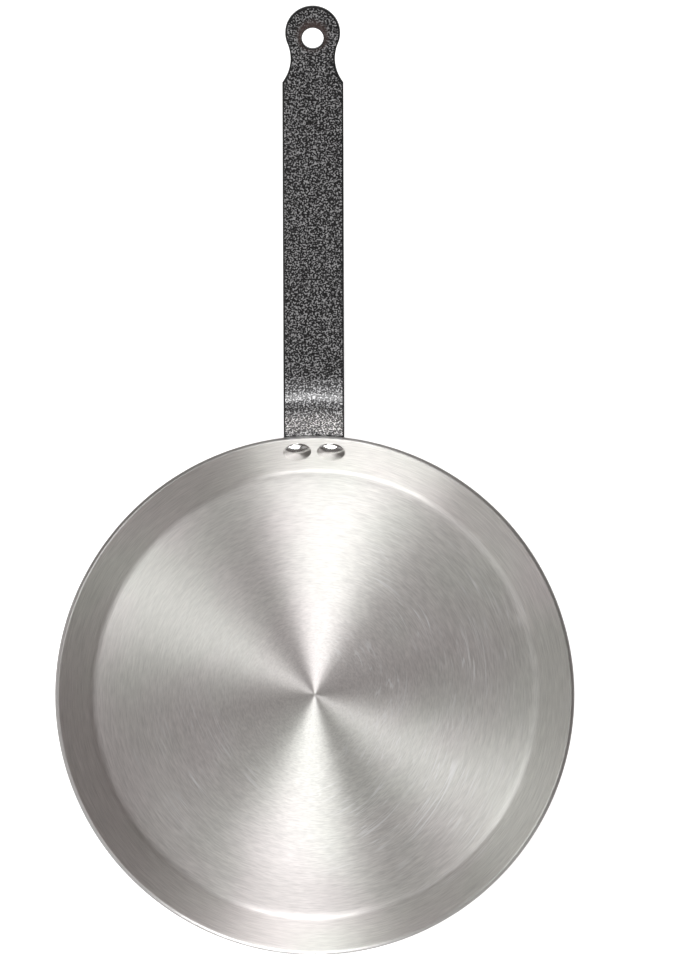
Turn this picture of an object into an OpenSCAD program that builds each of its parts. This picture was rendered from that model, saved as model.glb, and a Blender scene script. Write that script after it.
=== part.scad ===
// Crepe pan: a low round steel pan with a flared wall, and a strip handle held on by two rivets.
// The origin is the centre of the underside, +Z is up, and the handle points along +Y.

/* [Pan] */
// Outer diameter across the rim
rim_d = 240; // [180:1:320]
// Depth of the inside, from the floor to the top edge of the rim
pan_depth = 20; // [14:0.5:32]
// Thickness of the plate
plate_t = 2.5; // [1.5:0.1:4]
// Slope of the wall above the floor, in degrees
wall_angle = 54; // [40:1:66]
// Radius of the bend between floor and wall, on the inside
floor_bend_r = 6; // [3:0.5:9]
// Rounding of the two edges of the rim
rim_round = 0.6; // [0.1:0.1:0.7]

/* [Handle strip] */
// Width of the strip
strip_w = 28; // [24:0.5:36]
// Thickness of the strip
strip_t = 3; // [2:0.1:5]
// Distance from the floor bend up to the strip's end, along the outside of the wall
tab_margin = 1; // [0.5:0.1:2]
// How far the strip runs on past the rim before it bends, along the slope of the wall
tab_rise = 12.5; // [10:0.5:30]
// Radius of the bend above the rim, on the strip's upper face
bend_r = 38; // [15:1:60]
// Slope of the arm above the floor, in degrees
arm_angle = 15; // [0:1:35]
// Length of the arm, from the bend to the centre of its round end
arm_len = 161; // [80:1:240]

/* [Hanging end] */
// Diameter of the round end of the arm
end_d = 25.2; // [23:0.1:36]
// Width of the neck beside the round end
neck_w = 20.4; // [15:0.1:22]
// Radius of the hollow on each side of the neck
neck_r = 19; // [12:0.5:30]
// Diameter of the hanging hole
hole_d = 10; // [5:0.5:12]
// How far the hole sits from the centre of the round end, towards the pan
hole_offset = 2.5; // [0:0.1:4]

/* [Rivets] */
// Place of the rivets on the wall's straight stretch, from 0 at its foot to 1 at its top
rivet_up = 0.575; // [0.45:0.005:0.6]
// Gap between the two heads inside the pan
rivet_gap = 2.5; // [1:0.1:6]
// Diameter of the shank
shank_d = 6; // [4:0.1:8]
// Diameter of the head inside the pan
inner_head_d = 13.1; // [9:0.1:16]
// Height of the head inside the pan
inner_head_h = 2; // [1.2:0.1:3.5]
// Diameter of the head on the outside
outer_head_d = 11; // [8:0.1:12.5]
// Height of the head on the outside
outer_head_h = 2.2; // [1.2:0.1:3.5]
// Height of the upright edge round each head
head_edge = 0.4; // [0.2:0.1:0.8]

/* [Fits] */
// Clearance between pieces that seat on each other
seat_gap = 0.05; // [0.02:0.01:0.1]

/* [Hidden] */
$fn = 180;
arc_steps = 12;
slack = 1;

// Directions in the section plane, where x is the distance from the axis and y the height.
function along(angle) = [cos(angle), sin(angle)];
function outward(angle) = [sin(angle), -cos(angle)];

// Points on an arc whose tangent turns from one slope to another, convex towards the pan.
function turn(centre, r, from, to) =
    [for (i = [0:arc_steps]) centre - r * outward(from + (to - from) * i / arc_steps)];

// Plain circular arc, by the angle of its points.
function arc(centre, r, from, to, steps = arc_steps) =
    [for (i = [0:steps]) centre + r * along(from + (to - from) * i / steps)];

// The wall, drawn along its inner face up to the corner that the rim's rounding cuts off.
edge_r = min(rim_round, 0.45 * plate_t);
rim_cut = edge_r * (sin(wall_angle) + cos(wall_angle) - 1);
rim_inner = [rim_d / 2 + rim_cut - plate_t * sin(wall_angle), plate_t + pan_depth + rim_cut];
floor_bend_rise = floor_bend_r * (1 - cos(wall_angle));
wall_len = (rim_inner.y - plate_t - floor_bend_rise) / sin(wall_angle);
wall_foot = rim_inner - wall_len * along(wall_angle);
floor_bend_centre = wall_foot - floor_bend_r * outward(wall_angle);

// The strip, drawn along its upper face, which lies against the outside of the wall.
strip_lift = (plate_t + seat_gap) * outward(wall_angle);
tab_foot = wall_foot + strip_lift + tab_margin * along(wall_angle);
bend_start = rim_inner + strip_lift + tab_rise * along(wall_angle);
bend_centre = bend_start + bend_r * outward(wall_angle);
bend_end = bend_centre - bend_r * outward(arm_angle);
end_centre = bend_end + arm_len * along(arm_angle);
arm_tip = end_centre + (end_d / 2 + slack) * along(arm_angle);

// The neck's hollows are arcs that run smoothly into the round end.
hollow_x = neck_w / 2 + neck_r;
end_sweep = acos(hollow_x / (end_d / 2 + neck_r));
hollow_y = hollow_x * tan(end_sweep);
shoulder_sweep = acos((hollow_x - strip_w / 2) / neck_r);

// The rivets stand square to the wall, on its straight stretch.
rivet_seat = wall_foot + rivet_up * wall_len * along(wall_angle);
rivet_turn = asin((inner_head_d + rivet_gap) / 2 / rivet_seat.x);
grip = plate_t + strip_t + 3 * seat_gap;

pan_section = concat(
    [[0, 0]],
    arc(floor_bend_centre, floor_bend_r + plate_t, -90, wall_angle - 90),
    arc(rim_inner + (plate_t - edge_r) * outward(wall_angle) - edge_r * along(wall_angle),
        edge_r, wall_angle - 90, wall_angle),
    arc(rim_inner + edge_r * outward(wall_angle) - edge_r * along(wall_angle),
        edge_r, wall_angle, wall_angle + 90),
    arc(floor_bend_centre, floor_bend_r, wall_angle - 90, -90),
    [[0, plate_t]]
);

strip_section = concat(
    [tab_foot],
    turn(bend_centre, bend_r, wall_angle, arm_angle),
    [arm_tip, arm_tip + strip_t * outward(arm_angle)],
    turn(bend_centre, bend_r - strip_t, arm_angle, wall_angle),
    [tab_foot + strip_t * outward(wall_angle)]
);

// One side of the neck, from the shoulder almost to the round end. The other side mirrors it.
neck_side = [
    for (i = [0:arc_steps - 1])
        [hollow_x, -hollow_y] - neck_r
            * along(shoulder_sweep - (shoulder_sweep + end_sweep) * i / arc_steps)
];

// Outline of the strip, laid flat, from the pan up to the round end, whose centre is at zero.
strip_outline = concat(
    [[strip_w / 2, -end_centre.x]],
    neck_side,
    arc([0, 0], end_d / 2, -end_sweep, 180 + end_sweep, 4 * arc_steps),
    [for (i = [arc_steps - 1:-1:0]) [-neck_side[i].x, neck_side[i].y]],
    [[-strip_w / 2, -end_centre.x]]
);

// Everything that the two heads are cut to fit: the wall, the strip and the gaps beside them.
clamped_section = [
    for (corner = [[0, -1], [1, -1], [1, 1], [0, 1]])
        rivet_seat + (corner.x * (grip + seat_gap) - seat_gap) * outward(wall_angle)
            + corner.y * inner_head_d * along(wall_angle)
];

// Puts a rivet's axis on its place in the wall, pointing into the pan.
module at_rivet(side) {
    rotate([0, 0, -side * rivet_turn])
        translate([0, rivet_seat.x, rivet_seat.y])
            rotate([wall_angle, 0, 0]) children();
}

// Lies on the upper face of the arm, centred on its round end.
module at_arm_end() {
    translate([0, end_centre.x, end_centre.y]) rotate([arm_angle, 0, 0]) children();
}

module rivet_holes() {
    for (side = [-1, 1])
        at_rivet(side)
            cylinder(h = 2 * (grip + slack), d = shank_d + 2 * seat_gap, center = true);
}

// A low domed head with an upright edge, its seat at z = 0, and a foot that is cut to the seat.
module rivet_head(d, h) {
    dome_h = h - head_edge;
    dome_r = (d * d / 4 + dome_h * dome_h) / (2 * dome_h);
    dome_half_angle = asin(d / 2 / dome_r);
    rotate_extrude()
        polygon(concat(
            [[0, -slack / 2], [d / 2, -slack / 2]],
            arc([0, h - dome_r], dome_r, 90 - dome_half_angle, 90)
        ));
}

module rivet(side) {
    difference() {
        at_rivet(side) {
            translate([0, 0, seat_gap]) rivet_head(inner_head_d, inner_head_h);
            translate([0, 0, -grip]) mirror([0, 0, 1]) rivet_head(outer_head_d, outer_head_h);
        }
        rotate_extrude() polygon(clamped_section);
    }
    at_rivet(side)
        translate([0, 0, -grip - slack]) cylinder(h = grip + 2 * slack, d = shank_d);
}

module pan_body() {
    color([0.78, 0.77, 0.75])
        difference() {
            rotate_extrude() polygon(pan_section);
            rivet_holes();
        }
}

module handle() {
    color([0.30, 0.30, 0.31])
        difference() {
            intersection() {
                rotate_extrude() polygon(strip_section);
                at_arm_end()
                    linear_extrude(height = 2 * end_centre.y, center = true)
                        polygon(strip_outline);
            }
            rivet_holes();
            at_arm_end()
                translate([0, -hole_offset, 0])
                    cylinder(h = 2 * (strip_t + slack), d = hole_d, center = true);
        }
}

module rivet_left() {
    color([0.66, 0.66, 0.65]) rivet(-1);
}

module rivet_right() {
    color([0.66, 0.66, 0.65]) rivet(1);
}

pan_body();
handle();
rivet_left();
rivet_right();
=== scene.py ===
"""Crepe pan: a turned steel pan with a flared wall, a hammered strip handle and two rivets.

Everything is in metres. The origin is the centre of the pan's underside, +Z is up, and the
handle points along +Y.
"""

import math

import bpy
from mathutils import Matrix, Vector, geometry, noise


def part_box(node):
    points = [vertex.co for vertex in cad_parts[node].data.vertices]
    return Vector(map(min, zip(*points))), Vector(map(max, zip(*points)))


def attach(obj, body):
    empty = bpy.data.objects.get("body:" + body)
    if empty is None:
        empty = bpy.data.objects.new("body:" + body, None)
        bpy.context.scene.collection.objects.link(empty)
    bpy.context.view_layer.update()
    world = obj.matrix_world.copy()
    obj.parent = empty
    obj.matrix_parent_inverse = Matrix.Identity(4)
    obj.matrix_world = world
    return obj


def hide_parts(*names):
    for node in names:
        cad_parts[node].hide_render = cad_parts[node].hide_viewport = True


MM = 0.001

# The view, straight down from far away: the frame's height in pixels, the scale at the rim, the
# place under the frame's middle, and the camera's turn, distance from the rim and reach.
FRAME_H = 954
PIXELS_PER_METRE = 2165.0
VIEW_CENTRE = Vector((11.63 * MM, 100.8 * MM))
VIEW_ROLL = math.radians(-0.17)
VIEW_DISTANCE = 8.0
VIEW_REACH = 100.0
SENSOR = 36.0

# The plate.
PLATE_T = 2.5 * MM
WALL_ANGLE = math.radians(54)
FLOOR_BEND_R = 6 * MM
RIM_ROUND = 0.6 * MM
PAN_SEGMENTS = 720
UNDERSIDE_STEPS = 24
OUTER_BEND_STEPS = 20
WALL_STEPS = 16
RIM_STEPS = 6
INNER_BEND_STEPS = 24
FLOOR_STEPS = 40

# The strip.
STRIP_W = 28 * MM
STRIP_T = 3 * MM
TAB_MARGIN = 1 * MM
TAB_RISE = 12.5 * MM
BEND_R = 38 * MM
ARM_ANGLE = math.radians(15)
ARM_LEN = 161 * MM
END_D = 25.2 * MM
NECK_W = 20.4 * MM
NECK_R = 19 * MM
HOLE_D = 10 * MM
HOLE_OFFSET = 2.5 * MM
STRIP_EDGE_R = 0.8 * MM
HOLE_EDGE_R = 0.4 * MM
EDGE_STEPS = 4

# The strip's mesh: its spacing, how far its points keep off the edges, and how it is joined up.
STRIP_MESH = 0.45 * MM
FILLING_SPARE = 0.6 * STRIP_MESH
SLIVER_SPARE = 0.01 * MM
LEAST_RING_STEPS = 32
DELAUNAY_INSIDE = 1
DELAUNAY_EPSILON = 1e-9

# The hammered relief: its depth, and the size of a flake. The warp's strength and scale and the
# width of a groove are shares of that size. The seed makes the relief the same in every run.
HAMMER_SEED = 1
HAMMER_DEPTH = 0.04 * MM
HAMMER_CELL = 1.3 * MM
HAMMER_WARP = 0.45
HAMMER_WARP_SCALE = 0.9
HAMMER_GROOVE = 0.35

# The rivets.
RIVET_UP = 0.575
RIVET_GAP = 2.5 * MM
SHANK_D = 6 * MM
INNER_HEAD_D = 13.1 * MM
INNER_HEAD_H = 2 * MM
OUTER_HEAD_D = 11 * MM
OUTER_HEAD_H = 2.2 * MM
HEAD_EDGE = 0.4 * MM
HEAD_CORNER_R = 0.8 * MM
HEAD_STEPS = 24
HEAD_CORNER_STEPS = 6
SEAT_TOLERANCE = 1e-7
RIVET_SEGMENTS = 96

SEAT_GAP = 0.05 * MM
SHARP_ANGLE = math.radians(35)

# The order of the materials on the plate and on the strip.
PLATE_SLOT, CUT_SLOT, CORNER_SLOT = range(3)
PAINT_SLOT, EDGE_SLOT = range(2)

# The Mix node's sockets for colours.
MIX_FIRST_COLOUR = 6
MIX_SECOND_COLOUR = 7
MIX_COLOUR_RESULT = 2

# The brushing, as noise cells in a metre across the rings and in a radian along them.
FINE_BRUSHING = (1700, 16)
BROAD_BRUSHING = (450, 7)
SCRATCH_BRUSHING = (700, 1.8)
CUT_BRUSHING = (1800, 30)
RIVET_BRUSHING = (2500, 8)
BRUSH_DEPTH = 0.02 * MM
# A quarter turn lays the stretched highlights across the rings.
BRUSH_TURN = 0.25

# The bend round the floor, rubbed smooth: its radius from the axis, and the reach of the rubbing.
BURNISHED_R = 103.8 * MM
BURNISHED_FULL = 0.3 * MM
BURNISHED_NONE = 1.4 * MM

# Patches of scratches in millimetres: the centre of the arcs, the patch's middle and its reach.
SCRATCH_PATCHES = (
    ((4, 9), (55, 28), 66),
    ((-14, -6), (45, -50), 58),
    ((30, 20), (-48, -30), 42),
)
# The most that a scratch shows, and the share of its patch's reach at which it starts to fade.
SCRATCH_STRENGTH = 0.7
SCRATCH_FADE = 0.4

# The rim's outer corner is painted lighter round this direction from the axis: a painted highlight
# beside the handle.
PAINTED_HIGHLIGHT_WAY = math.radians(110)

# The paint: noise cells in a metre, the depth of its grain, and how much brighter it is painted
# beside the rim, with the heights between which that fades. That is painted light, standing in for
# the pan's bright reflection in the tab.
PAINT_CELLS = 1380
PAINT_GRAIN = 0.12 * MM
PAINTED_LIGHT_GAIN = 2.9
PAINTED_LIGHT_BELOW = 28 * MM
PLAIN_ABOVE = 38 * MM

# The paint is worn round the hanging hole, mostly on the far side.
WORN_SHIFT = 1.5 * MM
WORN_FULL = 5.0 * MM
WORN_NONE = 9.0 * MM

# The studio: a round floor whose low rim, far away, is the backdrop, and a dim, warm surround.
FLOOR_R = 11.8
FLOOR_SIDES = 96
FLOOR_Z = -0.2 * MM
BACKDROP_H = 0.15
SURROUND_COLOUR = (1.0, 0.91, 0.86)
SURROUND_STRENGTH = 0.128
# The floor glows less near the pan, where the lights brighten it as well.
NEAR_GLOW = 0.7
NEAR_R = 1.5
FAR_R = 4.0

# The lights, all as far from the origin. Each has its azimuth, counterclockwise from +X, and its
# elevation in degrees, and then its width, height and radiance.
LIGHT_DISTANCE = 2.5
LIGHTS = {
    "light_north": (86.5, 52, 0.95, 2.2, 3.55),
    "light_north_skirt": (90, 54, 2.6, 1.6, 0.42),
    "light_south": (260.5, 27, 2.0, 0.6, 6.6),
    "light_south_skirt": (246, 43, 4.0, 1.1, 0.95),
    "light_north_west": (151, 70, 0.6, 1.1, 4.8),
    "light_west_high": (214, 65, 1.9, 0.8, 1.2),
    "light_west_low": (193, 18, 4.0, 0.9, 0.4),
    "light_south_east": (312, 18, 2.0, 0.9, 0.35),
}


# ---------------------------------------------------------------- plane geometry

def along(angle):
    """The direction of that slope in a section, as (distance from the axis, height)."""
    return Vector((math.cos(angle), math.sin(angle)))


def outward(angle):
    """Square to that slope, away from the inside of the pan."""
    return Vector((math.sin(angle), -math.cos(angle)))


def arc(centre, radius, start, stop, steps):
    """Points of an arc, by the direction from its centre."""
    turns = [start + (stop - start) * i / steps for i in range(steps + 1)]
    return [centre + radius * along(turn) for turn in turns]


def between(start, stop, steps):
    """The points that split a straight line into equal steps, without its ends."""
    return [start.lerp(stop, i / steps) for i in range(1, steps)]


def smooth_step(low, high, value):
    """From 0 at low to 1 at high, with a soft start and end."""
    share = min(1.0, max(0.0, (value - low) / (high - low)))
    return share * share * (3 - 2 * share)


# ---------------------------------------------------------------- places worked out from the sizes

class Section:
    """The section that all four pieces share, worked out from the rim's radius and height."""

    def __init__(self, rim_r, rim_z):
        wall, side = along(WALL_ANGLE), outward(WALL_ANGLE)
        cut = RIM_ROUND * (wall.x + wall.y - 1)
        self.rim_inner = Vector((rim_r + cut - PLATE_T * side.x, rim_z + cut))
        bend_rise = FLOOR_BEND_R * (1 - wall.x)
        self.wall_len = (self.rim_inner.y - PLATE_T - bend_rise) / wall.y
        self.wall_foot = self.rim_inner - self.wall_len * wall
        self.floor_bend_centre = self.wall_foot - FLOOR_BEND_R * side

        painted_light = (PLATE_T + SEAT_GAP) * side
        self.tab_foot = self.wall_foot + painted_light + TAB_MARGIN * wall
        self.bend_start = self.rim_inner + painted_light + TAB_RISE * wall
        self.tab_len = (self.bend_start - self.tab_foot).length
        self.bend_centre = self.bend_start + BEND_R * side
        self.bend_len = BEND_R * (WALL_ANGLE - ARM_ANGLE)
        self.bend_end = self.bend_centre - BEND_R * outward(ARM_ANGLE)
        self.strip_len = self.tab_len + self.bend_len + ARM_LEN

        self.rivet_seat = self.wall_foot + RIVET_UP * self.wall_len * wall
        self.rivet_turn = math.asin((INNER_HEAD_D + RIVET_GAP) / 2 / self.rivet_seat.x)
        self.grip = PLATE_T + STRIP_T + 3 * SEAT_GAP
        self.wall_curve_r = self.rivet_seat.x / side.x

    def rivet_place(self, side):
        """A rivet's axis in the wall, pointing into the pan, as a matrix."""
        seat = Matrix.Translation((0, self.rivet_seat.x, self.rivet_seat.y))
        turned = Matrix.Rotation(-side * self.rivet_turn, 4, "Z")
        return turned @ seat @ Matrix.Rotation(WALL_ANGLE, 4, "X")


# ---------------------------------------------------------------- meshes

def add_mesh(name, points, faces, materials, face_materials=None):
    """A new smooth-shaded mesh object."""
    mesh = bpy.data.meshes.new(name)
    mesh.from_pydata([tuple(p) for p in points], [], faces)
    for material in materials:
        mesh.materials.append(material)
    if face_materials:
        mesh.polygons.foreach_set("material_index", face_materials)
    mesh.polygons.foreach_set("use_smooth", [True] * len(mesh.polygons))
    mesh.update()
    mesh.set_sharp_from_angle(angle=SHARP_ANGLE)
    piece = bpy.data.objects.new(name, mesh)
    bpy.context.scene.collection.objects.link(piece)
    return piece


def lathe(profile, segments):
    """Points and faces of a profile that starts and ends on the axis, turned about Z.

    Also gives, for each face, which step of the profile it was made from.
    """
    turns = [math.tau * i / segments for i in range(segments)]
    points = [(0, 0, profile[0].y)]
    for p in profile[1:-1]:
        points += [(p.x * math.cos(t), p.x * math.sin(t), p.y) for t in turns]
    points.append((0, 0, profile[-1].y))
    last = len(points) - 1
    top_ring = last - segments
    faces = []
    bands = []
    for i in range(segments):
        j = (i + 1) % segments
        faces.append((0, 1 + j, 1 + i))
        bands.append(0)
        for ring in range(len(profile) - 3):
            low = 1 + ring * segments
            high = low + segments
            faces.append((low + i, low + j, high + j, high + i))
            bands.append(ring + 1)
        faces.append((top_ring + i, top_ring + j, last))
        bands.append(len(profile) - 2)
    return points, faces, bands


def pan_profile(section):
    """The plate's profile, from the underside's middle round the rim to the middle of the floor.

    Also gives the place in it where the rim's rounding starts.
    """
    quarter = math.pi / 2
    wall, side = along(WALL_ANGLE), outward(WALL_ANGLE)
    centre = section.floor_bend_centre
    rim = section.rim_inner
    underside = Vector((centre.x, 0))
    floor = Vector((centre.x, PLATE_T))
    outer_foot = section.wall_foot + PLATE_T * side
    outer_rim = rim + (PLATE_T - RIM_ROUND) * side - RIM_ROUND * wall
    inner_rim = rim + RIM_ROUND * side - RIM_ROUND * wall
    outer_wall_top = outer_rim + RIM_ROUND * side
    inner_wall_top = inner_rim - RIM_ROUND * side

    profile = [Vector((0, 0))]
    profile += between(Vector((0, 0)), underside, UNDERSIDE_STEPS)
    outer_bend_r = FLOOR_BEND_R + PLATE_T
    profile += arc(centre, outer_bend_r, -quarter, WALL_ANGLE - quarter, OUTER_BEND_STEPS)
    profile += between(outer_foot, outer_wall_top, WALL_STEPS)
    rim_start = len(profile)
    profile += arc(outer_rim, RIM_ROUND, WALL_ANGLE - quarter, WALL_ANGLE, RIM_STEPS)
    profile += arc(inner_rim, RIM_ROUND, WALL_ANGLE, WALL_ANGLE + quarter, RIM_STEPS)
    profile += between(inner_wall_top, section.wall_foot, WALL_STEPS)
    profile += arc(centre, FLOOR_BEND_R, WALL_ANGLE - quarter, -quarter, INNER_BEND_STEPS)
    profile += between(floor, Vector((0, PLATE_T)), FLOOR_STEPS)
    profile.append(Vector((0, PLATE_T)))
    return profile, rim_start


def build_pan(section, plate, cut, corner):
    """The plate: brushed metal all over but for the cut edge and its outer rounding."""
    profile, rim_start = pan_profile(section)
    points, faces, bands = lathe(profile, PAN_SEGMENTS)
    rim = {rim_start + step: CORNER_SLOT for step in range(RIM_STEPS)}
    rim[rim_start + RIM_STEPS] = CUT_SLOT
    slots = [rim.get(band, PLATE_SLOT) for band in bands]
    pan = add_mesh("pan", points, faces, [plate, cut, corner], slots)
    drill(pan, section, SHANK_D / 2 + SEAT_GAP)
    return pan


def drill(pan, section, radius):
    """Cuts the two rivet holes through the wall."""
    depth = 2 * section.grip
    corners = ((0, -depth), (radius, -depth), (radius, depth), (0, depth))
    points, faces, _ = lathe([Vector(corner) for corner in corners], RIVET_SEGMENTS)
    for side in (-1, 1):
        tool = add_mesh("drill", points, faces, [])
        tool.matrix_world = section.rivet_place(side)
        cut = pan.modifiers.new("hole", "BOOLEAN")
        cut.object = tool
        cut.solver = "EXACT"
        apply_modifiers(pan)
        bpy.data.objects.remove(tool)
    pan.data.set_sharp_from_angle(angle=SHARP_ANGLE)


def apply_modifiers(piece):
    """Bakes the modifiers into the piece's own mesh."""
    bpy.context.view_layer.update()
    shown = piece.evaluated_get(bpy.context.evaluated_depsgraph_get())
    piece.data = bpy.data.meshes.new_from_object(shown)
    piece.modifiers.clear()


# ---------------------------------------------------------------- strip handle

class StripPattern:
    """The strip laid flat: x is across, y runs along it, and the round end's centre is at zero."""

    def __init__(self, section):
        self.section = section
        self.foot = -section.strip_len
        self.hollow_x = NECK_W / 2 + NECK_R
        self.end_sweep = math.acos(self.hollow_x / (END_D / 2 + NECK_R))
        self.hollow_y = -self.hollow_x * math.tan(self.end_sweep)
        self.shoulder_sweep = math.acos((self.hollow_x - STRIP_W / 2) / NECK_R)
        self.hollows = [Vector((side * self.hollow_x, self.hollow_y)) for side in (-1, 1)]
        hole_up = self.rivet_height()
        holes = [(Vector((0, -HOLE_OFFSET)), HOLE_D / 2, HOLE_EDGE_R)]
        for side in (-1, 1):
            at = Vector((side * section.rivet_seat.x * math.sin(section.rivet_turn), hole_up))
            holes.append((at, SHANK_D / 2 + SEAT_GAP, HOLE_EDGE_R / 2))
        self.holes = holes

    def rivet_height(self):
        """Where the rivets' axes cross the strip, measured along it."""
        seat = self.section.rivet_seat - self.section.wall_foot
        return self.foot + seat.length - TAB_MARGIN

    def outline(self):
        """Points of the edge with their normals, counterclockwise from the lower right corner."""
        half = STRIP_W / 2
        right = self.right_side()
        head = self.ring(Vector((0, 0)), END_D / 2, -self.end_sweep, math.pi + self.end_sweep)
        left = [(Vector((-p.x, p.y)), Vector((-n.x, n.y))) for p, n in reversed(right)]
        steps = round(STRIP_W / STRIP_MESH)
        start = Vector((STRIP_EDGE_R - half, self.foot))
        stop = Vector((half - STRIP_EDGE_R, self.foot))
        lower = [(p, Vector((0, -1))) for p in between(start, stop, steps)]
        return right + head[1:-1] + left + lower

    def right_side(self):
        """The right edge from the foot to where the hollow of the neck meets the round end."""
        half = STRIP_W / 2
        hollow = self.hollows[1]
        sweep = self.shoulder_sweep + self.end_sweep
        steps = round(NECK_R * sweep / STRIP_MESH)
        neck = []
        for i in range(steps + 1):
            turn = along(self.shoulder_sweep - sweep * i / steps)
            neck.append((hollow - NECK_R * turn, turn))
        shoulder, normal = neck[0]
        neck[0] = (shoulder, mitre(Vector((1, 0)), normal))
        foot = Vector((half, self.foot))
        count = round((shoulder - foot).length / STRIP_MESH)
        start = foot + Vector((0, STRIP_EDGE_R))
        straight = [(p, Vector((1, 0))) for p in between(start, shoulder, count)]
        return [(foot, mitre(Vector((0, -1)), Vector((1, 0))))] + straight + neck

    def ring(self, centre, radius, start, stop, inwards=False):
        """Points of a round edge with their normals. Those of a hole point inwards."""
        steps = max(LEAST_RING_STEPS, round(radius * abs(stop - start) / STRIP_MESH))
        found = []
        for i in range(steps + 1):
            turn = along(start + (stop - start) * i / steps)
            found.append((centre + radius * turn, -turn if inwards else turn))
        return found

    def loops(self):
        """Every edge of the strip: points with normals, and the radius that rounds it."""
        found = [(self.outline(), STRIP_EDGE_R)]
        for centre, radius, edge_r in self.holes:
            found.append((self.ring(centre, radius, math.tau, 0, inwards=True)[:-1], edge_r))
        return found

    def inside(self, p, spare):
        """True where a point is in the broad face, at least that far from every edge's rounding."""
        margin = STRIP_EDGE_R + spare
        if abs(p.x) > STRIP_W / 2 - margin or p.y < self.foot + margin:
            return False
        for centre, radius, edge_r in self.holes:
            if (p - centre).length < radius + edge_r + spare:
                return False
        if p.y > -END_D / 2 * math.sin(self.end_sweep):
            return p.length < END_D / 2 - margin
        return all((p - hollow).length > NECK_R + margin for hollow in self.hollows)

    def filling(self):
        """Points that fill the face between the edges, in staggered rows."""
        rise = STRIP_MESH * math.sqrt(3) / 2
        rows = int((END_D / 2 - self.foot) / rise)
        columns = int(STRIP_W / 2 / STRIP_MESH) + 1
        found = []
        for row in range(rows):
            shift = 0.5 * (row % 2)
            for column in range(-columns, columns + 1):
                p = Vector(((column + shift) * STRIP_MESH, self.foot + row * rise))
                if self.inside(p, FILLING_SPARE):
                    found.append(p)
        return found

    def bent(self, p, depth):
        """Where a point that deep below the flat strip's upper face lies once the strip is bent."""
        section = self.section
        run = p.y - self.foot
        if run < section.tab_len:
            slope = WALL_ANGLE
            at = section.tab_foot + run * along(slope)
        elif run < section.tab_len + section.bend_len:
            slope = WALL_ANGLE - (run - section.tab_len) / BEND_R
            at = section.bend_centre - BEND_R * outward(slope)
        else:
            slope = ARM_ANGLE
            at = section.bend_end + (run - section.tab_len - section.bend_len) * along(slope)
        at = at + depth * outward(slope)
        rounded = 1 - smooth_step(section.tab_len, section.tab_len + section.bend_len, run)
        dip = at.x - math.sqrt(at.x * at.x - p.x * p.x)
        return Vector((p.x, at.x - rounded * dip, at.y))


def mitre(first, second):
    """The normal of a corner, long enough to offset both of its sides by one."""
    return (first + second) / (1 + first.dot(second))


def hammer_relief(p):
    """How deep the hammered paint dips at a point of the flat strip, from 0 to 1."""
    at = Vector((p.x, p.y, 0)) / HAMMER_CELL
    warp = noise.noise_vector(at * HAMMER_WARP_SCALE) * HAMMER_WARP
    near, far = noise.voronoi(at + warp)[0][:2]
    return 1 - smooth_step(0.0, HAMMER_GROOVE, far - near)


def flat_face(pattern, loops):
    """The broad face laid flat: its points, its triangles, and the ring of points at each edge."""
    flat = []
    edges = []
    rings = []
    for loop, edge_r in loops:
        start = len(flat)
        count = len(loop)
        flat += [p - edge_r * n for p, n in loop]
        edges += [(start + i, start + (i + 1) % count) for i in range(count)]
        rings.append(range(start, start + count))
    flat += pattern.filling()
    joined = geometry.delaunay_2d_cdt(flat, edges, [], DELAUNAY_INSIDE, DELAUNAY_EPSILON, False)
    flat, _, triangles, *_ = joined
    return flat, [t for t in triangles if in_metal(pattern, flat, t)], rings


def in_metal(pattern, flat, triangle):
    """False for a triangle in a hole or beside the outline, or a sliver along an edge."""
    middle = sum((flat[i] for i in triangle), Vector((0, 0))) / 3
    return pattern.inside(middle, SLIVER_SPARE)


def build_handle(section, paint, painted_shade_edge):
    """The strip: an upper and a lower face in hammered relief, joined by rounded edges."""
    pattern = StripPattern(section)
    loops = pattern.loops()
    flat, triangles, rings = flat_face(pattern, loops)
    edge_count = sum(len(ring) for ring in rings)
    noise.seed_set(HAMMER_SEED)
    depths = [0.0] * edge_count
    depths += [HAMMER_DEPTH * hammer_relief(p) for p in flat[edge_count:]]
    points = [pattern.bent(p, depth) for p, depth in zip(flat, depths)]
    points += [pattern.bent(p, STRIP_T - depth) for p, depth in zip(flat, depths)]
    under = len(flat)
    faces = [tuple(t) for t in triangles]
    faces += [tuple(under + i for i in reversed(t)) for t in triangles]
    broad = len(faces)
    for (loop, edge_r), ring in zip(loops, rings):
        add_edge(pattern, points, faces, loop, edge_r, ring, under)
    slots = [PAINT_SLOT] * broad + [EDGE_SLOT] * (len(faces) - broad)
    return add_mesh("handle_strip", points, faces, [paint, painted_shade_edge], slots)


def add_edge(pattern, points, faces, loop, edge_r, ring, under):
    """Joins the upper face's ring to the lower one's by a rounded edge."""
    turns = [math.pi / 2 * i / EDGE_STEPS for i in range(1, EDGE_STEPS + 1)]
    upper = [(edge_r * (1 - math.sin(t)), edge_r * (1 - math.cos(t))) for t in turns]
    lower = [(inset, STRIP_T - depth) for inset, depth in reversed(upper)]
    count = len(loop)
    rows = [list(ring)]
    for inset, depth in upper + lower:
        start = len(points)
        points += [pattern.bent(p - inset * n, depth) for p, n in loop]
        rows.append(list(range(start, start + count)))
    rows.append([under + i for i in ring])
    for above, below in zip(rows, rows[1:]):
        for i in range(count):
            j = (i + 1) % count
            faces.append((above[i], below[i], below[j], above[j]))


# ---------------------------------------------------------------- rivets

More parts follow.
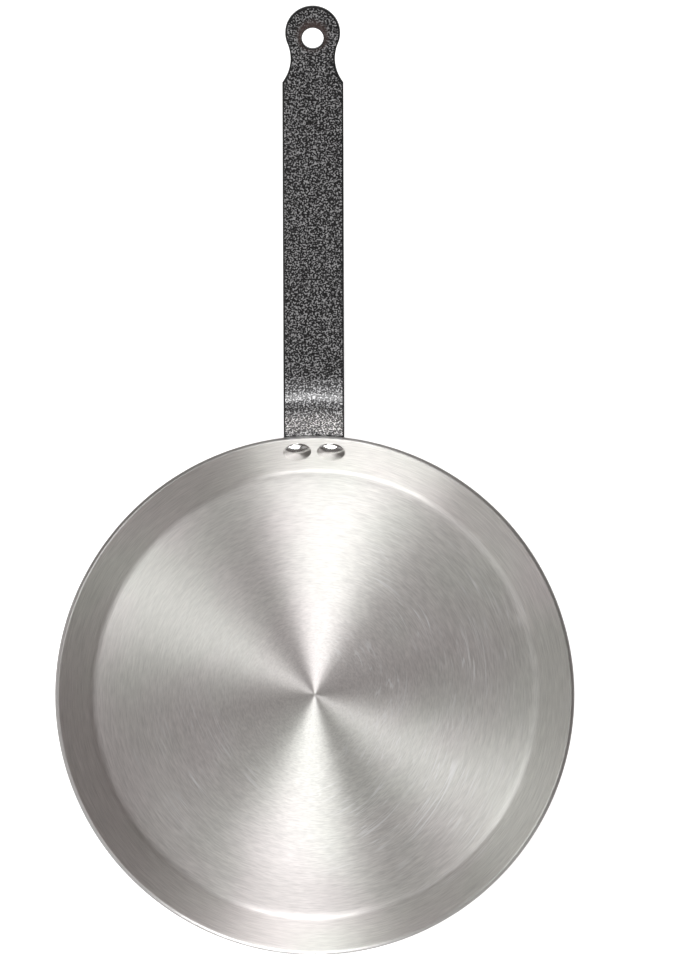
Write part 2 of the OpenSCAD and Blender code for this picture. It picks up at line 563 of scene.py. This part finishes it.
def head_arc(radius, height):
    """The profile of a low dome with a rounded corner, from its edge to its middle.

    The head is seated at height 0.
    """
    dome_h = height - HEAD_EDGE
    dome_r = (radius * radius + dome_h * dome_h) / (2 * dome_h)
    dome_centre = Vector((0, height - dome_r))
    reach = radius - HEAD_CORNER_R
    painted_light = math.sqrt((dome_r - HEAD_CORNER_R) ** 2 - reach ** 2)
    corner_centre = dome_centre + Vector((reach, painted_light))
    corner_stop = math.atan2(painted_light, reach)
    corner = arc(corner_centre, HEAD_CORNER_R, 0, corner_stop, HEAD_CORNER_STEPS)
    return corner + arc(dome_centre, dome_r, corner_stop, math.pi / 2, HEAD_STEPS)[1:]


def build_rivet(name, side, section, steel):
    """A rivet with both of its heads, in its place in the wall."""
    inner = head_arc(INNER_HEAD_D / 2, INNER_HEAD_H)
    outer = head_arc(OUTER_HEAD_D / 2, OUTER_HEAD_H)
    shank_r = SHANK_D / 2
    profile = [Vector((p.x, -section.grip - p.y)) for p in reversed(outer)]
    profile.append(Vector((OUTER_HEAD_D / 2, -section.grip)))
    profile.append(Vector((shank_r, -section.grip)))
    profile.append(Vector((shank_r, SEAT_GAP)))
    profile.append(Vector((INNER_HEAD_D / 2, SEAT_GAP)))
    profile += [Vector((p.x, p.y + SEAT_GAP)) for p in inner]
    points, faces, _ = lathe(profile, RIVET_SEGMENTS)
    seats = (-section.grip, SEAT_GAP)
    points = [follow_wall(p, seats, section.wall_curve_r) for p in points]
    rivet = add_mesh(name, points, faces, [steel])
    rivet.matrix_world = section.rivet_place(side)
    return rivet


def follow_wall(p, seats, curve_r):
    """Lifts a point of a head's seat to the curve of the wall that it lies on."""
    x, y, z = p
    if any(abs(z - seat) < SEAT_TOLERANCE for seat in seats):
        z += x * x / (2 * curve_r)
    return (x, y, z)


# ---------------------------------------------------------------- materials

class Nodes:
    """Short ways to add shader nodes to a material."""

    def __init__(self, name):
        self.material = bpy.data.materials.new(name)
        self.material.use_nodes = True
        self.tree = self.material.node_tree
        self.tree.nodes.clear()
        self.output = self.tree.nodes.new("ShaderNodeOutputMaterial")

    def add(self, kind, **settings):
        node = self.tree.nodes.new(kind)
        for key, value in settings.items():
            setattr(node, key, value)
        return node

    def link(self, source, target):
        self.tree.links.new(source, target)

    def feed(self, socket, value):
        """Links a socket, or sets it to a plain value."""
        if isinstance(value, bpy.types.NodeSocket):
            self.link(value, socket)
        else:
            socket.default_value = value

    def math(self, operation, *values):
        node = self.add("ShaderNodeMath", operation=operation)
        for socket, value in zip(node.inputs, values):
            self.feed(socket, value)
        return node.outputs[0]

    def vector_math(self, operation, *values, output="Vector"):
        node = self.add("ShaderNodeVectorMath", operation=operation)
        for socket, value in zip(node.inputs, values):
            self.feed(socket, value)
        return node.outputs[output]

    def combine(self, x, y, z):
        node = self.add("ShaderNodeCombineXYZ")
        for socket, value in zip(node.inputs, (x, y, z)):
            self.feed(socket, value)
        return node.outputs[0]

    def noise(self, vector, scale, detail=2.0):
        node = self.add("ShaderNodeTexNoise")
        self.link(vector, node.inputs["Vector"])
        node.inputs["Scale"].default_value = scale
        node.inputs["Detail"].default_value = detail
        return node.outputs["Fac"]

    def remap(self, value, low, high, to_low, to_high, smooth=False):
        node = self.add("ShaderNodeMapRange")
        node.interpolation_type = "SMOOTHSTEP" if smooth else "LINEAR"
        for socket, number in zip(node.inputs, (value, low, high, to_low, to_high)):
            self.feed(socket, number)
        return node.outputs["Result"]

    def mix_colour(self, share, first, second, blend="MIX"):
        node = self.add("ShaderNodeMix", data_type="RGBA", blend_type=blend)
        self.feed(node.inputs["Factor"], share)
        self.feed(node.inputs[MIX_FIRST_COLOUR], first)
        self.feed(node.inputs[MIX_SECOND_COLOUR], second)
        return node.outputs[MIX_COLOUR_RESULT]

    def bump(self, height, strength, distance):
        node = self.add("ShaderNodeBump")
        node.inputs["Strength"].default_value = strength
        node.inputs["Distance"].default_value = distance
        self.link(height, node.inputs["Height"])
        return node.outputs["Normal"]

    def surface(self, **values):
        """A Principled surface. Names use _ for a space."""
        node = self.add("ShaderNodeBsdfPrincipled")
        for key, value in values.items():
            self.feed(node.inputs[key.replace("_", " ")], value)
        self.link(node.outputs[0], self.output.inputs["Surface"])
        return node


def rgb(red, green, blue):
    """A colour as a shader socket takes it."""
    return (red, green, blue, 1.0)


def object_place(nodes):
    """Where the shaded point is, in metres."""
    return nodes.add("ShaderNodeTexCoord").outputs["Object"]


def flattened(nodes, place):
    """The part of a place that is square to the pan's axis."""
    return nodes.vector_math("MULTIPLY", place, (1, 1, 0))


def height_of(nodes, place):
    """The height of a place."""
    parts = nodes.add("ShaderNodeSeparateXYZ")
    nodes.link(place, parts.inputs[0])
    return parts.outputs["Z"]


def ring_coordinates(nodes, across, round_about, centre=(0, 0, 0)):
    """Coordinates that run fast across rings about a centre and slowly along them, with no seam."""
    place = nodes.vector_math("SUBTRACT", object_place(nodes), centre)
    flat = flattened(nodes, place)
    radius = nodes.vector_math("LENGTH", flat, output="Value")
    reach = nodes.math("ADD", radius, height_of(nodes, place))
    heading = nodes.vector_math("NORMALIZE", flat)
    turned = nodes.vector_math("SCALE", heading)
    turned.node.inputs["Scale"].default_value = round_about
    parts = nodes.add("ShaderNodeSeparateXYZ")
    nodes.link(turned, parts.inputs[0])
    ring = nodes.math("MULTIPLY", reach, across)
    return nodes.combine(ring, parts.outputs["X"], parts.outputs["Y"])


def brushing(nodes, cells, detail=2, centre=(0, 0, 0)):
    """Noise that is drawn out along rings about a centre."""
    return nodes.noise(ring_coordinates(nodes, *cells, centre), 1.0, detail=detail)


def burnished_bend(nodes, place):
    """How far the bend round the floor is rubbed smooth, from 0 to 1."""
    radius = nodes.vector_math("LENGTH", flattened(nodes, place), output="Value")
    off_bend = nodes.math("ABSOLUTE", nodes.math("SUBTRACT", radius, BURNISHED_R))
    return nodes.remap(off_bend, BURNISHED_FULL, BURNISHED_NONE, 1.0, 0.0, smooth=True)


def ground_place(place):
    """A place at height 0 that is given in millimetres, in metres."""
    return (place[0] * MM, place[1] * MM, 0)


def scratches(nodes, place, centre, patch_centre, patch_reach):
    """Thin, broken arcs of scratches about a centre, loosely spread over a patch.

    Gives how much of a scratch shows, from 0 to SCRATCH_STRENGTH.
    """
    waves = brushing(nodes, SCRATCH_BRUSHING, detail=0, centre=ground_place(centre))
    off_line = nodes.math("ABSOLUTE", nodes.math("SUBTRACT", waves, 0.5))
    line = nodes.remap(off_line, 0.01, 0.04, SCRATCH_STRENGTH, 0.0)
    middle = ground_place(patch_centre)
    from_patch = nodes.vector_math("DISTANCE", place, middle, output="Value")
    reach = patch_reach * MM
    patch = nodes.remap(from_patch, SCRATCH_FADE * reach, reach, 1.0, 0.0)
    broken = nodes.remap(nodes.noise(place, 45, detail=1), 0.4, 0.6, 0.0, 1.0)
    return nodes.math("MULTIPLY", nodes.math("MULTIPLY", line, patch), broken)


def steel_tint(nodes, place):
    """The plate's colour, clouded between a pinkish and a yellowish grey."""
    cloud = nodes.remap(nodes.noise(place, 14), 0.4, 0.6, 0.0, 1.0)
    return nodes.mix_colour(cloud, rgb(0.80, 0.765, 0.755), rgb(0.785, 0.785, 0.75))


def brushed_plate():
    """Bare steel, turned and brushed in rings about the pan's axis, with light scratches."""
    nodes = Nodes("brushed_plate")
    place = object_place(nodes)
    fine = brushing(nodes, FINE_BRUSHING)
    streak = nodes.remap(fine, 0.3, 0.7, 0.88, 1.08)
    band = nodes.remap(brushing(nodes, BROAD_BRUSHING), 0.3, 0.7, 0.95, 1.04)
    shade = nodes.math("MULTIPLY", streak, band)
    steel = nodes.mix_colour(1.0, steel_tint(nodes, place), shade, blend="MULTIPLY")
    upper, lower, left = [scratches(nodes, place, *patch) for patch in SCRATCH_PATCHES]
    scratch = nodes.math("MAXIMUM", nodes.math("MAXIMUM", upper, lower), left)
    colour = nodes.mix_colour(scratch, steel, rgb(1.0, 1.0, 1.0))
    rough = nodes.remap(fine, 0.3, 0.7, 0.38, 0.42)
    surface = nodes.surface(
        Base_Color=colour,
        Metallic=nodes.remap(scratch, 0.0, 1.0, 1.0, 0.6),
        Roughness=nodes.remap(burnished_bend(nodes, place), 0.0, 1.0, rough, 0.33),
        Anisotropic=1.0,
        Anisotropic_Rotation=BRUSH_TURN,
        Normal=nodes.bump(fine, 0.1, BRUSH_DEPTH),
    )
    tangent = nodes.add("ShaderNodeTangent", direction_type="RADIAL", axis="Z")
    nodes.link(tangent.outputs[0], surface.inputs["Tangent"])
    return nodes.material


def eased_corner():
    """The outer rounding of the cut edge, painted dark all round as painted shade, and painted
    light beside the handle as a painted highlight.
    """
    nodes = Nodes("eased_corner")
    heading = nodes.vector_math("NORMALIZE", flattened(nodes, object_place(nodes)))
    way = (math.cos(PAINTED_HIGHLIGHT_WAY), math.sin(PAINTED_HIGHLIGHT_WAY), 0)
    toward = nodes.vector_math("DOT_PRODUCT", heading, way, output="Value")
    painted_highlight = nodes.remap(toward, 0.55, 0.85, 0.0, 1.0, smooth=True)
    # Painted shade and highlight: dark grey all round for the corner's dark outline, near white
    # beside the handle as a painted highlight.
    colour = nodes.mix_colour(painted_highlight, rgb(0.46, 0.45, 0.44), rgb(0.93, 0.92, 0.91))
    nodes.surface(Base_Color=colour, Metallic=1.0, Roughness=0.3)
    return nodes.material


def cut_edge():
    """The flat of the plate's cut edge, between its two roundings."""
    nodes = Nodes("cut_edge")
    fine = brushing(nodes, CUT_BRUSHING)
    colour = nodes.mix_colour(fine, rgb(0.62, 0.61, 0.60), rgb(0.78, 0.77, 0.76))
    grain = nodes.bump(fine, 0.2, BRUSH_DEPTH)
    nodes.surface(Base_Color=colour, Metallic=1.0, Roughness=0.3, Normal=grain)
    return nodes.material


def polished_steel():
    """Bare steel, polished, with faint turning marks about the rivet's own axis."""
    nodes = Nodes("polished_steel")
    fine = brushing(nodes, RIVET_BRUSHING)
    colour = nodes.mix_colour(fine, rgb(0.69, 0.685, 0.675), rgb(0.83, 0.82, 0.81))
    grain = nodes.bump(fine, 0.15, BRUSH_DEPTH)
    nodes.surface(Base_Color=colour, Metallic=1.0, Roughness=0.14, Normal=grain)
    return nodes.material


def flakes(nodes, threads):
    """The colour of the paint's light flakes and of the dark threads between them."""
    ramp = nodes.add("ShaderNodeValToRGB")
    stops = ramp.color_ramp.elements
    stops[0].position = 0.43
    stops[0].color = rgb(0.015, 0.015, 0.016)
    stops[1].position = 0.70
    stops[1].color = rgb(0.46, 0.46, 0.47)
    middle = stops.new(0.52)
    middle.color = rgb(0.06, 0.06, 0.062)
    nodes.link(threads, ramp.inputs["Fac"])
    return ramp.outputs["Color"]


def hammered_paint(hole_centre):
    """Dark grey hammered paint: light flakes between dark, thread-like dips."""
    nodes = Nodes("hammered_paint")
    place = object_place(nodes)
    threads = nodes.noise(place, PAINT_CELLS, detail=0)
    height = height_of(nodes, place)
    # Painted light: the paint is made lighter low on the tab, beside the rim, in place of the pan's
    # bright reflection in it.
    painted_light = nodes.remap(height, PAINTED_LIGHT_BELOW, PLAIN_ABOVE, PAINTED_LIGHT_GAIN, 1.0, smooth=True)
    paint = nodes.mix_colour(1.0, flakes(nodes, threads), painted_light, blend="MULTIPLY")
    x, y, z = hole_centre
    from_hole = nodes.vector_math("DISTANCE", place, (x, y + WORN_SHIFT, z), output="Value")
    worn = nodes.remap(from_hole, WORN_FULL, WORN_NONE, 0.9, 0.0, smooth=True)
    nodes.surface(
        Base_Color=nodes.mix_colour(worn, paint, rgb(0.085, 0.06, 0.055)),
        Metallic=0.85,
        Roughness=0.42,
        Coat_Weight=1.0,
        Coat_Roughness=0.12,
        Normal=nodes.bump(threads, 0.8, PAINT_GRAIN),
    )
    return nodes.material


def painted_shade_edge():
    """The strip's rounded edges, near-black with a weak sheen: painted shade for their dark
    outline.
    """
    nodes = Nodes("painted_shade_edge")
    # Painted shade: near-black, so the edges show a dark outline under any light.
    nodes.surface(Base_Color=rgb(0.015, 0.015, 0.016), Roughness=0.45, Specular_IOR_Level=0.15)
    return nodes.material


def white_floor():
    """A pale surface that shows white where no shadow falls on it, in metal and glass too."""
    nodes = Nodes("studio_floor")
    path = nodes.add("ShaderNodeLightPath")
    seen = nodes.math("MAXIMUM", path.outputs["Is Camera Ray"], path.outputs["Is Glossy Ray"])
    seen = nodes.math("MAXIMUM", seen, path.outputs["Is Transmission Ray"])
    away = nodes.vector_math("LENGTH", object_place(nodes), output="Value")
    strength = nodes.remap(away, NEAR_R, FAR_R, NEAR_GLOW, 1.0)
    glow = nodes.add("ShaderNodeEmission")
    nodes.link(nodes.math("MULTIPLY", seen, strength), glow.inputs["Strength"])
    diffuse = nodes.add("ShaderNodeBsdfDiffuse")
    diffuse.inputs["Color"].default_value = rgb(0.8, 0.8, 0.8)
    both = nodes.add("ShaderNodeAddShader")
    nodes.link(diffuse.outputs[0], both.inputs[0])
    nodes.link(glow.outputs[0], both.inputs[1])
    nodes.link(both.outputs[0], nodes.output.inputs["Surface"])
    return nodes.material


# ---------------------------------------------------------------- studio

def add_floor():
    """The round floor and the low rim that is its backdrop."""
    around = [FLOOR_R * along(math.tau * i / FLOOR_SIDES) for i in range(FLOOR_SIDES)]
    points = [(p.x, p.y, z) for z in (FLOOR_Z, BACKDROP_H) for p in around]
    faces = [tuple(range(FLOOR_SIDES))]
    for i in range(FLOOR_SIDES):
        j = (i + 1) % FLOOR_SIDES
        faces.append((i, j, FLOOR_SIDES + j, FLOOR_SIDES + i))
    mesh = bpy.data.meshes.new("floor")
    mesh.from_pydata(points, [], faces)
    mesh.materials.append(white_floor())
    floor = bpy.data.objects.new("floor", mesh)
    bpy.context.scene.collection.objects.link(floor)


def add_light(name, azimuth, elevation, width, height, radiance):
    """A soft elliptical light that faces the pan."""
    turn, rise = math.radians(azimuth), math.radians(elevation)
    flat = math.cos(rise)
    heading = Vector((math.cos(turn) * flat, math.sin(turn) * flat, math.sin(rise)))
    data = bpy.data.lights.new(name, "AREA")
    data.shape = "ELLIPSE"
    data.size = width
    data.size_y = height
    data.energy = radiance * math.pi * (math.pi / 4 * width * height)
    light = bpy.data.objects.new(name, data)
    light.location = heading * LIGHT_DISTANCE
    light.rotation_euler = heading.to_track_quat("Z", "Y").to_euler()
    light.visible_camera = False
    bpy.context.scene.collection.objects.link(light)


def add_surround():
    """The dim light of the room, from all sides."""
    world = bpy.data.worlds.new("studio")
    world.use_nodes = True
    background = world.node_tree.nodes["Background"]
    background.inputs["Color"].default_value = rgb(*SURROUND_COLOUR)
    background.inputs["Strength"].default_value = SURROUND_STRENGTH
    bpy.context.scene.world = world


def add_camera(rim_z):
    """The camera, which looks straight down."""
    data = bpy.data.cameras.new("camera")
    data.sensor_width = SENSOR
    data.lens = SENSOR * PIXELS_PER_METRE * VIEW_DISTANCE / FRAME_H
    data.clip_end = VIEW_REACH
    camera = bpy.data.objects.new("camera", data)
    camera.location = (*(Matrix.Rotation(VIEW_ROLL, 2) @ VIEW_CENTRE), rim_z + VIEW_DISTANCE)
    camera.rotation_euler = (0, 0, VIEW_ROLL)
    bpy.context.scene.collection.objects.link(camera)
    bpy.context.scene.camera = camera


# ---------------------------------------------------------------- the whole

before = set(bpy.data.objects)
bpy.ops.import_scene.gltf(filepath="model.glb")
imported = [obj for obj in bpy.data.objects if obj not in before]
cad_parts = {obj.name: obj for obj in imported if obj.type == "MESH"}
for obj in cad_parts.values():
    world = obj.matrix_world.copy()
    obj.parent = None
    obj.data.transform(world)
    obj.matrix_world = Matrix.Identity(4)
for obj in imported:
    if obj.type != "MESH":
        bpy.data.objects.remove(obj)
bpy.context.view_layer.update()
rim_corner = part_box("pan_body")[1]
section = Section(round(rim_corner.x, 4), round(rim_corner.z, 4))

bpy.context.scene.view_settings.view_transform = "Standard"
add_camera(section.rim_inner.y)
add_surround()
for name, light in LIGHTS.items():
    add_light(name, *light)
add_floor()

hole = section.bend_end + (ARM_LEN - HOLE_OFFSET) * along(ARM_ANGLE)
pan = build_pan(section, brushed_plate(), cut_edge(), eased_corner())
strip = build_handle(section, hammered_paint((0, *hole)), painted_shade_edge())
rivet_steel = polished_steel()
left_rivet = build_rivet("left_rivet", -1, section, rivet_steel)
right_rivet = build_rivet("right_rivet", 1, section, rivet_steel)
pieces = {
    "pan_body": (pan, "brushed_plate"),
    "handle": (strip, "hammered_paint"),
    "rivet_left": (left_rivet, "rivet_steel"),
    "rivet_right": (right_rivet, "rivet_steel"),
}
for node, (piece, slot) in pieces.items():
    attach(piece, "root")
    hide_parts(node)
